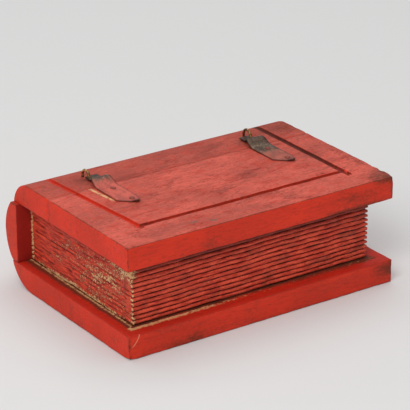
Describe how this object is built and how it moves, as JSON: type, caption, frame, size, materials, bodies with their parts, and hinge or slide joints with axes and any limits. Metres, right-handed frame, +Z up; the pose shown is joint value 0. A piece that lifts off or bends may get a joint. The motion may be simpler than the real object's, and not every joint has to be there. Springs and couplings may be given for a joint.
{
  "type": "ditty box",
  "caption": "Keepsake box in the form of a closed book, with carved page edges, a hollow inside and a lid board on wire-eye and strap hinges.",
  "frame": {"origin": "middle of the footprint at the underside of the base", "axes": "+X along the spine to the head end, +Y from the fore-edge to the spine, +Z up"},
  "size_m": [0.1924, 0.138, 0.074],
  "materials": {
    "cover_wood": "worn red paint on wood",
    "page_wood": "worn red paint on carved wood",
    "strap_metal": "thin iron, part painted red, part bare",
    "eye_wire": "dull dark bronze wire",
    "nail_iron": "iron under red paint"
  },
  "bodies": {
    "box": {"base_board": "cover_wood", "spine": "cover_wood", "hinge_rail": "cover_wood", "fore_edge_wall": "page_wood", "tail_wall": "page_wood", "head_wall": "page_wood", "left_eye": "eye_wire", "right_eye": "eye_wire", "rail_nails": "nail_iron"},
    "lid": {"lid_board": "cover_wood", "left_strap": "strap_metal", "right_strap": "strap_metal", "left_strap_nails": "nail_iron", "right_strap_nails": "nail_iron"}
  },
  "joints": [
    {"name": "lid_hinge", "type": "hinge", "parent": "box", "child": "lid", "pos_m": [0, 0.036, 0.0694], "axis": [-1, 0, 0], "range_deg": [0, 165]}
  ]
}
